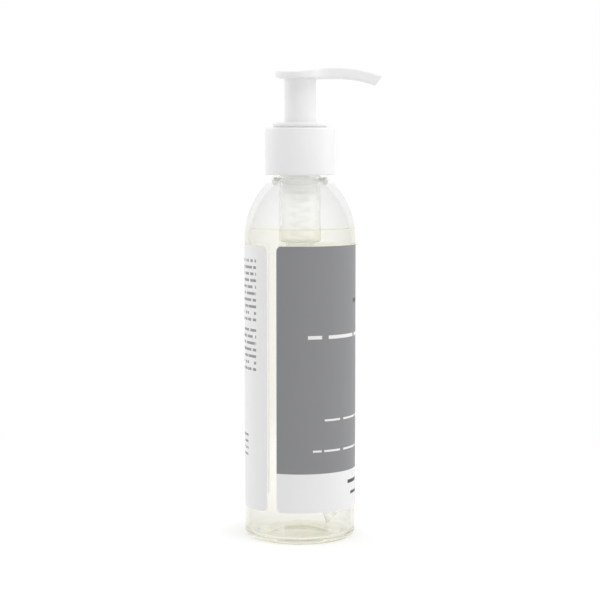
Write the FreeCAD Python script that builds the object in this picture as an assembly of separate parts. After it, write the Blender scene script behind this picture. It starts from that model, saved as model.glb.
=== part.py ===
import FreeCAD
import Part
import math
import os

# A clear round bottle of oil with two wrap labels and a screw-on lotion pump.
# Millimetres, +Z up, the bottle axis is Z, the table is Z = 0 and the spout points along +X.

# Bottle
BARREL_DIAMETER = 44.5
BARREL_WALL = 1.5
SHOULDER_START = 121.0
SHOULDER_RADIUS = 31.7
SHOULDER_THICKENING = 1.5
HEEL_RADIUS = 3.2
INNER_HEEL_RADIUS = 2.0
STANDING_RING_WIDTH = 3.5
PUSH_UP_HEIGHT = 3.0
BASE_THICKNESS = 2.2
NECK_WALL = 1.8
NECK_HEIGHT = 16.0
BEAD_PROJECTION = 0.9
BEAD_HEIGHT = 1.4

# Labels
LABEL_THICKNESS = 0.1
LABEL_GLUE_GAP = 0.02
LABEL_BOTTOM = 13.0
LABEL_TOP_MARGIN = 2.5
LABEL_CORNER = 2.0
FRONT_LABEL_ANGLE = 229.0
LABEL_SPACING_ANGLE = 10.8

# Oil
OIL_ABOVE_SHOULDER = 3.7
OIL_FILM = 0.05
OIL_TUBE_CLEARANCE = 0.3

# Actuator head, measured from the underside of its pad
COLUMN_DIAMETER = 12.7
COLUMN_WALL = 1.2
COLUMN_ENGAGEMENT = 4.4
PUMP_STROKE = 15.0
HEAD_REST_GAP = 2.4
PAD_DIAMETER = 20.0
SPOUT_REACH = 32.7
SPOUT_ROOT_WIDTH = 11.6
SPOUT_TIP_WIDTH = 7.6
SPOUT_FLARE_RADIUS = 9.0
CREST_HEIGHT = 4.2
CREST_X = 14.0
CREST_RADIUS = 55.0
SADDLE_X = -3.0
SADDLE_RADIUS = 36.0
LIP_START_X = 5.5
LIP_RADIUS = 12.0
DROOP_START_X = 15.0
DROOP_RADIUS = 44.0
TIP_CUT_ANGLE = 37.0
HEAD_EDGE_RADIUS = 0.7
CHANNEL_RADIUS = 1.1
SOCKET_WALL = 1.2
SOCKET_DEPTH = 11.0

# Lock ring
LOCK_RING_DIAMETER = 22.0
LOCK_RING_HEIGHT = 1.9
LOCK_RING_EDGE = 0.6
SLEEVE_WALL = 0.65
SLEEVE_FLOOR = 1.2

# Screw collar
COLLAR_PLATE = 1.6
COLLAR_WALL = 1.7
COLLAR_SKIRT_GAP = 0.9
COLLAR_EDGE = 0.9
THREAD_DEPTH = 1.35
UNSCREW_LIFT = 4.7625

# Pump housing
HOUSING_WALL = 0.9
FLANGE_THICKNESS = 1.0
FLANGE_PROJECTION = 2.2
CHAMBER_MARGIN = 3.7
CHAMBER_FLOOR = 1.1
POCKET_DEPTH = 12.0
BALL_DIAMETER = 5.2
BALL_LIFT = 1.5
INLET_DIAMETER = 3.4
INLET_LENGTH = 1.5
TUBE_SOCKET_DEPTH = 9.0
NUB_HEIGHT = 0.8
NUB_WIDTH = 1.2

# Gasket and dip tube
GASKET_THICKNESS = 1.0
TUBE_DIAMETER = 4.8
TUBE_WALL = 0.7
TUBE_STRAIGHT = 2.0
TUBE_END_OFFSET = 12.8
TUBE_END_RISE = 2.2
TUBE_CUT_ANGLE = 35.0

# Stem, piston seal, valve rod and spring
STEM_DIAMETER = 6.0
STEM_BORE = 4.0
SKIRT_LENGTH = 3.8
SKIRT_WALL = 1.0
SKIRT_ROOF = 0.8
PISTON_SLIP = 0.8
PISTON_HEIGHT = 5.5
PISTON_LIP = 0.8
PISTON_WAIST = 0.5
PISTON_WEB = 1.0
HUB_WALL = 1.0
HUB_FOOT = 0.3
ROD_HEAD_THICKNESS = 1.2
ROD_SHANK_DIAMETER = 3.0
ROD_LENGTH = 14.0
SPRING_WIRE = 0.9
SPRING_TURNS = 7.0

# Clearances
COLUMN_CLEARANCE = 0.25
SLEEVE_CLEARANCE = 0.1
PISTON_CLEARANCE = 0.05
NECK_CLEARANCE = 0.9
COLLAR_PLAY = 0.1
STEM_CLEARANCE = 0.3
PRESS_CLEARANCE = 0.02
STOP_GAP = 0.2
COLUMN_END_GAP = 0.4
SEAT_GAP = 0.05
SPRING_CLEARANCE = 0.3
BALL_CLEARANCE = 0.6

# Radii that follow from the fits, from the axis outwards
barrel_r = BARREL_DIAMETER / 2
cavity_r = barrel_r - BARREL_WALL
stem_r = STEM_DIAMETER / 2
stem_bore_r = STEM_BORE / 2
column_r = COLUMN_DIAMETER / 2
sleeve_bore_r = column_r + COLUMN_CLEARANCE
sleeve_r = sleeve_bore_r + SLEEVE_WALL
chamber_r = sleeve_r + SLEEVE_CLEARANCE
housing_r = chamber_r + HOUSING_WALL
neck_bore_r = housing_r + NECK_CLEARANCE
neck_r = neck_bore_r + NECK_WALL
collar_bore_r = neck_r + THREAD_DEPTH
collar_r = collar_bore_r + COLLAR_WALL
flange_r = housing_r + FLANGE_PROJECTION
piston_r = chamber_r - PISTON_CLEARANCE
tube_r = TUBE_DIAMETER / 2
ball_r = BALL_DIAMETER / 2
ball_bore_r = ball_r + BALL_CLEARANCE
inlet_r = INLET_DIAMETER / 2
shank_r = ROD_SHANK_DIAMETER / 2
hub_bore_r = stem_bore_r
hub_r = hub_bore_r + HUB_WALL
skirt_bore_r = hub_r + STOP_GAP
skirt_r = skirt_bore_r + SKIRT_WALL
spring_r = ball_bore_r + SPRING_WIRE / 2 + SPRING_CLEARANCE
pocket_r = spring_r + SPRING_WIRE / 2 + SPRING_CLEARANCE
rod_head_r = spring_r + SPRING_WIRE

# Heights that follow from the stack, from the bottle neck upwards
shoulder_x = barrel_r - SHOULDER_RADIUS
neck_base = SHOULDER_START + math.sqrt(SHOULDER_RADIUS ** 2 - (neck_r - shoulder_x) ** 2)
lip = neck_base + NECK_HEIGHT
gasket_top = lip + GASKET_THICKNESS
flange_top = gasket_top + FLANGE_THICKNESS
plate_bottom = flange_top + COLLAR_PLAY
collar_top = plate_bottom + COLLAR_PLATE
ring_seat = collar_top + COLLAR_PLAY
ring_top = ring_seat + LOCK_RING_HEIGHT
head_z = ring_top + HEAD_REST_GAP + PUMP_STROKE
collar_bottom = neck_base + COLLAR_SKIRT_GAP

# Heights of the moving parts and the housing, from the lock ring downwards, with the head up
column_bottom = ring_top - COLUMN_ENGAGEMENT
sleeve_floor_top = column_bottom - PUMP_STROKE - COLUMN_END_GAP
sleeve_end = sleeve_floor_top - SLEEVE_FLOOR
skirt_top = sleeve_end - STOP_GAP
skirt_bottom = skirt_top - SKIRT_LENGTH
skirt_ceiling = skirt_top - SKIRT_ROOF
hub_top = skirt_ceiling - PISTON_SLIP - STOP_GAP
web_top = skirt_bottom - PISTON_SLIP - STOP_GAP
lips_top = sleeve_end - PISTON_SLIP - STOP_GAP - STOP_GAP
lips_bottom = lips_top - PISTON_HEIGHT
hub_bottom = lips_bottom - HUB_FOOT
rod_seat = hub_bottom - SEAT_GAP
rod_head_bottom = rod_seat - ROD_HEAD_THICKNESS
chamber_floor = lips_bottom - PUMP_STROKE - CHAMBER_MARGIN
housing_step = chamber_floor - CHAMBER_FLOOR
spring_seat = chamber_floor - POCKET_DEPTH
ball_rest = (ball_r + SEAT_GAP) * math.sqrt(2) - inlet_r
ball_room = ball_rest + ball_r + BALL_LIFT + SEAT_GAP
inlet_top = spring_seat - NUB_HEIGHT - ball_room
socket_top = inlet_top - INLET_LENGTH
socket_bottom = socket_top - TUBE_SOCKET_DEPTH
oil_top = SHOULDER_START + OIL_ABOVE_SHOULDER

# Pushed-up base: a spherical cap inside the standing ring
ring_inner_r = barrel_r - HEEL_RADIUS - STANDING_RING_WIDTH
cap_radius = (ring_inner_r ** 2 + PUSH_UP_HEIGHT ** 2) / (2 * PUSH_UP_HEIGHT)
cap_z = PUSH_UP_HEIGHT - cap_radius

AXIS = FreeCAD.Vector(0, 0, 1)
ORIGIN = FreeCAD.Vector(0, 0, 0)


def at(x, z):
    """A point in the XZ plane."""
    return FreeCAD.Vector(x, 0, z)


def on_circle(x, z, radius, degrees):
    """A point on a circle in the XZ plane, as an (x, z) pair."""
    turn = math.radians(degrees)
    return (x + radius * math.cos(turn), z + radius * math.sin(turn))


class Outline:
    """A closed outline in the XZ plane, drawn from point to point."""

    def __init__(self, x, z):
        self.first = at(x, z)
        self.here = self.first
        self.edges = []

    def line(self, x, z):
        """Draws a straight edge to a point."""
        end = at(x, z)
        self.edges.append(Part.LineSegment(self.here, end).toShape())
        self.here = end
        return self

    def arc(self, middle, end):
        """Draws an arc through a middle point to an end point."""
        end_point = at(*end)
        self.edges.append(Part.Arc(self.here, at(*middle), end_point).toShape())
        self.here = end_point
        return self

    def face(self):
        """Closes the outline and fills it."""
        self.line(self.first.x, self.first.z)
        return Part.Face(Part.Wire(self.edges))

    def spin(self):
        """Turns the filled outline round the Z axis."""
        return self.face().revolve(ORIGIN, AXIS, 360)


def rod(radius, bottom, top):
    """An upright cylinder on the Z axis."""
    return Part.makeCylinder(radius, top - bottom, at(0, bottom))


def tube(outer, inner, bottom, top):
    """An upright tube on the Z axis."""
    return rod(outer, bottom, top).cut(rod(inner, bottom, top))


def cap_height(x, radius):
    """Height of a base cap sphere of the given radius above a distance from the axis."""
    return cap_z + math.sqrt(radius ** 2 - x ** 2)


def cavity(inset, top):
    """The space inside the bottle up to a height, smaller by an inset all round."""
    wall = cavity_r - inset
    floor = BASE_THICKNESS + inset
    sphere = cap_radius + floor
    foot = math.sqrt(sphere ** 2 - (floor - cap_z) ** 2)
    heel_x = wall - INNER_HEEL_RADIUS
    heel_z = floor + INNER_HEEL_RADIUS
    arc_z = SHOULDER_START - SHOULDER_THICKENING
    arc_radius = wall - shoulder_x
    bore = neck_bore_r - inset
    bore_z = arc_z + math.sqrt(arc_radius ** 2 - (bore - shoulder_x) ** 2)
    half = math.degrees(math.asin((bore_z - arc_z) / arc_radius)) / 2
    shape = Outline(0, PUSH_UP_HEIGHT + floor)
    shape.arc((foot / 2, cap_height(foot / 2, sphere)), (foot, floor))
    shape.line(heel_x, floor)
    shape.arc(on_circle(heel_x, heel_z, INNER_HEEL_RADIUS, -45), (wall, heel_z))
    shape.line(wall, arc_z)
    shape.arc(on_circle(shoulder_x, arc_z, arc_radius, half), (bore, bore_z))
    shape.line(bore, lip + 1)
    shape.line(0, lip + 1)
    return shape.spin().common(rod(barrel_r, 0, top))


def make_bottle():
    """The blown bottle: pushed-up base, straight barrel, round shoulder and a neck with a bead."""
    heel_x = barrel_r - HEEL_RADIUS
    half = math.degrees(math.asin((neck_base - SHOULDER_START) / SHOULDER_RADIUS)) / 2
    cap_middle = (ring_inner_r / 2, cap_height(ring_inner_r / 2, cap_radius))
    shape = Outline(0, PUSH_UP_HEIGHT)
    shape.arc(cap_middle, (ring_inner_r, 0))
    shape.line(heel_x, 0)
    shape.arc(on_circle(heel_x, HEEL_RADIUS, HEEL_RADIUS, -45), (barrel_r, HEEL_RADIUS))
    shape.line(barrel_r, SHOULDER_START)
    shape.arc(on_circle(shoulder_x, SHOULDER_START, SHOULDER_RADIUS, half), (neck_r, neck_base))
    shape.line(neck_r, lip)
    shape.line(0, lip)
    bead_bottom = collar_bottom + BEAD_HEIGHT / 2
    bead = Outline(neck_bore_r + NECK_WALL / 2, bead_bottom)
    bead.line(neck_r, bead_bottom)
    bead.arc((neck_r + BEAD_PROJECTION, bead_bottom + BEAD_HEIGHT / 2), (neck_r, bead_bottom + BEAD_HEIGHT))
    bead.line(neck_bore_r + NECK_WALL / 2, bead_bottom + BEAD_HEIGHT)
    return shape.spin().fuse(bead.spin()).cut(cavity(0, lip))


def make_label(width_angle, centre_angle):
    """A thin label wrapped on the barrel, with rounded corners, centred on a direction."""
    inner = barrel_r + LABEL_GLUE_GAP
    outer = inner + LABEL_THICKNESS
    top = SHOULDER_START - LABEL_TOP_MARGIN
    strip = Outline(inner, LABEL_BOTTOM)
    strip.line(outer, LABEL_BOTTOM)
    strip.line(outer, top)
    strip.line(inner, top)
    label = strip.face().revolve(ORIGIN, AXIS, width_angle)
    corners = []
    for edge in label.Edges:
        if edge.Length < 2 * LABEL_THICKNESS:
            corners.append(edge)
    label = label.makeFillet(LABEL_CORNER, corners)
    label.rotate(ORIGIN, AXIS, centre_angle - width_angle / 2)
    return label


def housing_outside(grow):
    """The outer form of the pump housing below its flange, larger by a gap all round."""
    wide = housing_r + grow
    middle = pocket_r + HOUSING_WALL + grow
    narrow = ball_bore_r + HOUSING_WALL + grow
    socket = tube_r + HOUSING_WALL + grow
    ball_step = spring_seat - CHAMBER_FLOOR - grow
    socket_step = socket_top - grow
    shape = Outline(0, gasket_top)
    shape.line(wide, gasket_top)
    shape.line(wide, housing_step + CHAMBER_FLOOR - grow)
    shape.arc(on_circle(wide - CHAMBER_FLOOR, chamber_floor - grow, CHAMBER_FLOOR, -45),
              (wide - CHAMBER_FLOOR, housing_step - grow))
    shape.line(middle, housing_step - grow)
    shape.line(middle, ball_step + CHAMBER_FLOOR)
    shape.line(narrow, ball_step)
    shape.line(narrow, socket_step)
    shape.line(socket, socket_step - (narrow - socket))
    shape.line(socket, socket_bottom - grow)
    shape.line(0, socket_bottom - grow)
    return shape.spin()


def make_housing():
    """The stepped pump housing: piston chamber, spring pocket, ball seat and dip tube socket."""
    bore = Outline(0, flange_top)
    bore.line(chamber_r, flange_top)
    bore.line(chamber_r, chamber_floor)
    bore.line(pocket_r, chamber_floor)
    bore.line(pocket_r, spring_seat)
    bore.line(ball_bore_r, spring_seat)
    bore.line(ball_bore_r, inlet_top + ball_bore_r - inlet_r)
    bore.line(inlet_r, inlet_top)
    bore.line(inlet_r, socket_top)
    bore.line(tube_r + PRESS_CLEARANCE, socket_top)
    bore.line(tube_r + PRESS_CLEARANCE, socket_bottom)
    bore.line(0, socket_bottom)
    body = housing_outside(0).fuse(rod(flange_r, gasket_top, flange_top)).cut(bore.spin())
    nub_reach = BALL_CLEARANCE + NUB_HEIGHT / 2
    nub_start = at(ball_bore_r - nub_reach, spring_seat - NUB_HEIGHT) - FreeCAD.Vector(0, NUB_WIDTH / 2, 0)
    for turn in (0, 120, 240):
        nub = Part.makeBox(nub_reach + HOUSING_WALL / 2, NUB_WIDTH, NUB_HEIGHT, nub_start)
        nub.rotate(ORIGIN, AXIS, turn)
        body = body.fuse(nub)
    return body.removeSplitter()


def tube_path():
    """Where the dip tube bends, the radius of its bend and the angle that it turns through."""
    bend_z = socket_bottom - TUBE_STRAIGHT
    end_z = cap_height(TUBE_END_OFFSET, cap_radius + BASE_THICKNESS) + TUBE_END_RISE
    drop = bend_z - end_z
    radius = (drop ** 2 + TUBE_END_OFFSET ** 2) / (2 * TUBE_END_OFFSET)
    return bend_z, radius, math.degrees(math.asin(drop / radius))


def bent_rod(radius, start_z, extra_angle):
    """A round rod down the axis from a height and along the dip tube's bend towards +X."""
    bend_z, bend_radius, angle = tube_path()
    disc = Part.Face(Part.Wire(Part.Circle(at(0, bend_z), AXIS, radius).toShape()))
    bend = disc.revolve(at(bend_radius, bend_z), FreeCAD.Vector(0, -1, 0), angle + extra_angle)
    return rod(radius, bend_z, start_z).fuse(bend)


def make_dip_tube():
    """The dip tube: straight in its socket, then bent evenly, with its lower end cut at a slant."""
    bend_z, bend_radius, angle = tube_path()
    start = socket_top - SEAT_GAP
    pipe = bent_rod(tube_r, start, 0).cut(bent_rod(tube_r - TUBE_WALL, start, 0))
    end_z = bend_z - bend_radius * math.sin(math.radians(angle))
    size = 4 * TUBE_DIAMETER
    knife = Part.makeBox(size, size, size, FreeCAD.Vector(-tube_r, -size / 2, -size))
    knife.rotate(ORIGIN, FreeCAD.Vector(0, 1, 0), -TUBE_CUT_ANGLE - angle)
    knife.translate(at(TUBE_END_OFFSET - tube_r, end_z))
    return pipe.cut(knife).removeSplitter()


def make_oil():
    """The oil up to its level, with room for the housing and for the dip tube as the pump is lifted out."""
    bend_z, bend_radius, angle = tube_path()
    sweep = UNSCREW_LIFT * math.sin(math.radians(angle))
    fill = cavity(OIL_FILM, oil_top)
    fill = fill.cut(housing_outside(OIL_FILM))
    return fill.cut(bent_rod(tube_r + sweep + OIL_TUBE_CLEARANCE, oil_top, 1))


def make_gasket():
    """The flat ring that seals the housing flange on the lip of the bottle."""
    return tube(flange_r + STOP_GAP, housing_r + SEAT_GAP, lip, gasket_top)


def make_collar():
    """The smooth screw collar, held between the housing flange and the lock ring."""
    hole_r = sleeve_r + STEM_CLEARANCE
    shape = Outline(hole_r, plate_bottom)
    shape.line(collar_bore_r, plate_bottom)
    shape.line(collar_bore_r, collar_bottom)
    shape.line(collar_r, collar_bottom)
    shape.line(collar_r, collar_top - COLLAR_EDGE)
    shape.arc(on_circle(collar_r - COLLAR_EDGE, collar_top - COLLAR_EDGE, COLLAR_EDGE, 45),
              (collar_r - COLLAR_EDGE, collar_top))
    shape.line(hole_r, collar_top)
    return shape.spin()


def make_lock_ring():
    """The lock ring: a flange above the collar and a sleeve that guides the column and the stem."""
    ring_r = LOCK_RING_DIAMETER / 2
    guide_r = stem_r + STEM_CLEARANCE
    shape = Outline(sleeve_bore_r, sleeve_floor_top)
    shape.line(guide_r, sleeve_floor_top)
    shape.line(guide_r, sleeve_end)
    shape.line(sleeve_r, sleeve_end)
    shape.line(sleeve_r, ring_seat)
    shape.line(ring_r - LOCK_RING_EDGE, ring_seat)
    shape.line(ring_r, ring_seat + LOCK_RING_EDGE)
    shape.line(ring_r, ring_top - LOCK_RING_EDGE)
    shape.arc(on_circle(ring_r - LOCK_RING_EDGE, ring_top - LOCK_RING_EDGE, LOCK_RING_EDGE, 45),
              (ring_r - LOCK_RING_EDGE, ring_top))
    shape.line(sleeve_bore_r, ring_top)
    return shape.spin()


def head_side():
    """The side view of the head: lip, flat underside and drooping spout below, saddle and crest above."""
    back = -PAD_DIAMETER / 2 - 1
    front = SPOUT_REACH + 2
    crest_z = head_z + CREST_HEIGHT - CREST_RADIUS
    span = CREST_RADIUS + SADDLE_RADIUS
    saddle_z = crest_z + math.sqrt(span ** 2 - (CREST_X - SADDLE_X) ** 2)
    meet_x = CREST_X + (SADDLE_X - CREST_X) * CREST_RADIUS / span
    droop_z = head_z - DROOP_RADIUS
    lip_z = head_z + LIP_RADIUS

    def lip_at(x):
        return lip_z - math.sqrt(LIP_RADIUS ** 2 - (x + LIP_START_X) ** 2)

    def droop_at(x):
        return droop_z + math.sqrt(DROOP_RADIUS ** 2 - (x - DROOP_START_X) ** 2)

    def crest_at(x):
        return crest_z + math.sqrt(CREST_RADIUS ** 2 - (x - CREST_X) ** 2)

    def saddle_at(x):
        return saddle_z - math.sqrt(SADDLE_RADIUS ** 2 - (x - SADDLE_X) ** 2)

    lip_middle = (back - LIP_START_X) / 2
    droop_middle = (DROOP_START_X + front) / 2
    saddle_middle = (meet_x + back) / 2
    shape = Outline(back, lip_at(back))
    shape.arc((lip_middle, lip_at(lip_middle)), (-LIP_START_X, head_z))
    shape.line(DROOP_START_X, head_z)
    shape.arc((droop_middle, droop_at(droop_middle)), (front, droop_at(front)))
    shape.line(front, crest_at(front))
    shape.arc((CREST_X, crest_at(CREST_X)), (meet_x, crest_at(meet_x)))
    shape.arc((saddle_middle, saddle_at(saddle_middle)), (back, saddle_at(back)))
    tip = (SPOUT_REACH, crest_at(SPOUT_REACH))
    return shape.face(), tip, saddle_at(0), droop_at(SPOUT_REACH)


def head_plan(tall, low):
    """The plan view of the head, a round pad that flares into a tapering spout, as a tall block."""
    root = SPOUT_ROOT_WIDTH / 2
    tip = SPOUT_TIP_WIDTH / 2
    end = SPOUT_REACH + 1
    corners = [(0, -root), (end, -tip), (end, tip), (0, root), (0, -root)]
    outline = Part.makePolygon([FreeCAD.Vector(x, y, low) for x, y in corners])
    spout = Part.Face(outline).extrude(AXIS * tall)
    pad = Part.makeCylinder(PAD_DIAMETER / 2, tall, at(0, low))
    block = pad.fuse(spout).removeSplitter()
    flare = []
    for edge in block.Edges:
        upright = abs(edge.Vertexes[0].Point.x - edge.Vertexes[-1].Point.x) < 0.001
        if upright and edge.Length > tall / 2 and 0 < edge.CenterOfMass.x < PAD_DIAMETER / 2 - 0.01:
            flare.append(edge)
    return block.makeFillet(SPOUT_FLARE_RADIUS, flare)


def make_head():
    """The pump head: saddle pad, drooping spout with its channel, and the hollow column below."""
    side, tip, saddle_z, tip_low = head_side()
    wide = Part.Compound([side]).extrude(FreeCAD.Vector(0, 2 * PAD_DIAMETER, 0)).Solids[0]
    wide.translate(FreeCAD.Vector(0, -PAD_DIAMETER, 0))
    low = head_z - 4 * CREST_HEIGHT
    blade = wide.common(head_plan(8 * CREST_HEIGHT, low))
    size = 4 * CREST_HEIGHT
    knife = Part.makeBox(size, 2 * size, 2 * size, FreeCAD.Vector(0, -size, -size))
    knife.rotate(ORIGIN, FreeCAD.Vector(0, 1, 0), TIP_CUT_ANGLE)
    knife.translate(at(*tip))
    blade = blade.cut(knife).removeSplitter()
    rim = []
    for edge in blade.Edges:
        middle = edge.CenterOfMass
        outer = abs(middle.y) > SPOUT_TIP_WIDTH / 4 or middle.x < -LIP_START_X
        spans = abs(edge.Vertexes[0].Point.z - edge.Vertexes[-1].Point.z) < CREST_HEIGHT / 2
        if outer and spans:
            rim.append(edge)
    blade = blade.makeFillet(HEAD_EDGE_RADIUS, rim)
    column = rod(column_r, column_bottom, head_z + CREST_HEIGHT / 4)
    socket_z = head_z - SOCKET_DEPTH
    hollow = rod(column_r - COLUMN_WALL, column_bottom, head_z - COLUMN_WALL)
    post = rod(stem_r + SOCKET_WALL, socket_z, head_z)
    head = blade.fuse(column).cut(hollow.cut(post))
    roof = (head_z + saddle_z) / 2
    start = (0, roof - CHANNEL_RADIUS)
    cut_down = (tip[1] - tip_low) / 2
    exit_point = (tip[0] - cut_down * math.tan(math.radians(TIP_CUT_ANGLE)) / 2, tip[1] - cut_down)
    middle = (CREST_X, head_z + CREST_HEIGHT / 2)
    return head.cut(make_channel(start, middle, exit_point)).cut(rod(stem_bore_r, socket_z, roof)).cut(
        rod(stem_r + PRESS_CLEARANCE, socket_z, head_z - COLUMN_WALL)).removeSplitter()


def make_channel(start, middle, end):
    """The round channel of the spout, along an arc that runs on past the tip."""
    curve = Part.Arc(at(*start), at(*middle), at(*end)).toShape()
    centre = curve.Curve.Center
    turn = math.degrees(curve.LastParameter - curve.FirstParameter)
    ray = at(*start) - centre
    along = FreeCAD.Vector(ray.z, 0, -ray.x)
    disc = Part.Face(Part.Wire(Part.Circle(at(*start), along, CHANNEL_RADIUS).toShape()))
    return disc.revolve(centre, FreeCAD.Vector(0, 1, 0), abs(turn) * 1.2)


def make_stem():
    """The hollow stem: pressed into the head, with a skirt at its foot that stops under the sleeve."""
    top = head_z - COLUMN_WALL - SEAT_GAP
    shape = Outline(stem_bore_r, top)
    shape.line(stem_r, top)
    shape.line(stem_r, skirt_top)
    shape.line(skirt_r, skirt_top)
    shape.line(skirt_r, skirt_bottom)
    shape.line(skirt_bore_r, skirt_bottom)
    shape.line(skirt_bore_r, skirt_ceiling)
    shape.line(stem_bore_r, skirt_ceiling)
    return shape.spin()


def make_piston():
    """The piston seal: two outer lips on a web, and a hub that slides in the skirt of the stem."""
    ring_r = piston_r - PISTON_LIP
    waist_r = piston_r - PISTON_WAIST
    waist_z = (lips_top + lips_bottom) / 2
    web_bottom = web_top - PISTON_WEB
    shape = Outline(hub_bore_r, hub_bottom)
    shape.line(hub_r, hub_bottom)
    shape.line(hub_r, web_bottom)
    shape.line(ring_r, web_bottom)
    shape.line(ring_r, lips_bottom)
    shape.line(piston_r, lips_bottom)
    shape.arc((waist_r, waist_z), (piston_r, lips_top))
    shape.line(ring_r, lips_top)
    shape.line(ring_r, web_top)
    shape.line(hub_r, web_top)
    shape.line(hub_r, hub_top)
    shape.line(hub_bore_r, hub_top)
    return shape.spin()


def make_valve_rod():
    """The valve rod: a head that closes the hub of the piston, and a shank up the bore of the stem."""
    shank_top = rod_head_bottom + ROD_LENGTH
    shape = Outline(0, rod_head_bottom)
    shape.line(rod_head_r, rod_head_bottom)
    shape.line(rod_head_r, rod_seat)
    shape.line(shank_r, rod_seat)
    shape.line(shank_r, shank_top - shank_r / 2)
    shape.line(shank_r / 2, shank_top)
    shape.line(0, shank_top)
    return shape.spin()


def make_spring():
    """The return spring, with both ends ground flat, between its ledge and the valve rod."""
    bottom = spring_seat + SEAT_GAP
    top = rod_head_bottom - SEAT_GAP
    pitch = (top - bottom) / SPRING_TURNS
    height = pitch * (SPRING_TURNS + 1)
    coil = Part.makeLongHelix(pitch, height, spring_r)
    section = Part.makePolygon([at(*on_circle(spring_r, 0, SPRING_WIRE / 2, 60 * i)) for i in range(7)])
    wire = Part.Wire(coil.Edges).makePipeShell([section], True, True)
    wire.translate(at(0, bottom - pitch / 2))
    return wire.common(rod(pocket_r, bottom, top))


def make_ball():
    """The inlet ball on its conical seat."""
    return Part.makeSphere(ball_r, at(0, inlet_top + ball_rest))


os.makedirs("parts", exist_ok=True)
back_angle = 360 - FRONT_LABEL_ANGLE - 2 * LABEL_SPACING_ANGLE
nodes = {
    "bottle": make_bottle(),
    "front_label": make_label(FRONT_LABEL_ANGLE, 0),
    "back_label": make_label(back_angle, 180),
    "oil_fill": make_oil(),
    "screw_collar": make_collar(),
    "lock_ring": make_lock_ring(),
    "neck_gasket": make_gasket(),
    "pump_housing": make_housing(),
    "dip_tube": make_dip_tube(),
    "inlet_ball": make_ball(),
    "return_spring": make_spring(),
    "valve_rod": make_valve_rod(),
    "piston_seal": make_piston(),
    "pump_stem": make_stem(),
    "actuator_head": make_head(),
}
for name, shape in nodes.items():
    shape.exportStep("parts/" + name + ".step")
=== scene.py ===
import logging
import math
from dataclasses import dataclass
from enum import Enum
from typing import Any, Iterable, Union

import bmesh
import bpy
from mathutils import Matrix, Vector


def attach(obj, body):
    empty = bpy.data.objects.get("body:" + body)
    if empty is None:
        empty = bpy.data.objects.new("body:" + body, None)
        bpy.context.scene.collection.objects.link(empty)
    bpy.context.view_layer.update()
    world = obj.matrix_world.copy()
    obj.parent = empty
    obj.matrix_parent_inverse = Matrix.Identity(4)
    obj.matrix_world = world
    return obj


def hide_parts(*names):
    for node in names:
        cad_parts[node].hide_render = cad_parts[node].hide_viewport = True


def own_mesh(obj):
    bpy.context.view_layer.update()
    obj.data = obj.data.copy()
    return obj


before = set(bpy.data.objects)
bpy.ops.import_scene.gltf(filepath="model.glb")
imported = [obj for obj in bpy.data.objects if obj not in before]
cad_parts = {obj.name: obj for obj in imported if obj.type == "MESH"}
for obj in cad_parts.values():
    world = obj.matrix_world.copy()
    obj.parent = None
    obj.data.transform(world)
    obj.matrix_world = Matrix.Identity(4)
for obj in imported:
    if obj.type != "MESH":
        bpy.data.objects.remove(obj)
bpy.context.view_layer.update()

LOG = logging.getLogger("pump_oil_bottle")
MM = 0.001
FULL_TURN = 2.0 * math.pi
ON_AXIS = 1e-6
SAME_POINT = 1e-7
CORNER_RUNS = 6
LONGEST_REACH = 0.49
NOISE_MIDDLE = 0.5
RELIEF = 0.00002
WAVE_RELIEF = 0.0002
WHITE_LIGHT = (1.0, 1.0, 1.0, 1.0)

Pair = tuple[float, float]
Triple = tuple[float, float, float]
Colour = Triple
Owner = Union[bpy.types.Material, bpy.types.World]


class Body(Enum):
    """The moving bodies of the bottle and its pump."""

    BOTTLE = "bottle"
    PUMP_UNIT = "pump_unit"
    COLLAR = "collar"
    PLUNGER = "plunger"
    PISTON = "piston"
    ACTUATOR = "actuator"
    INLET_VALVE = "inlet_valve"


# Shader maths


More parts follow.
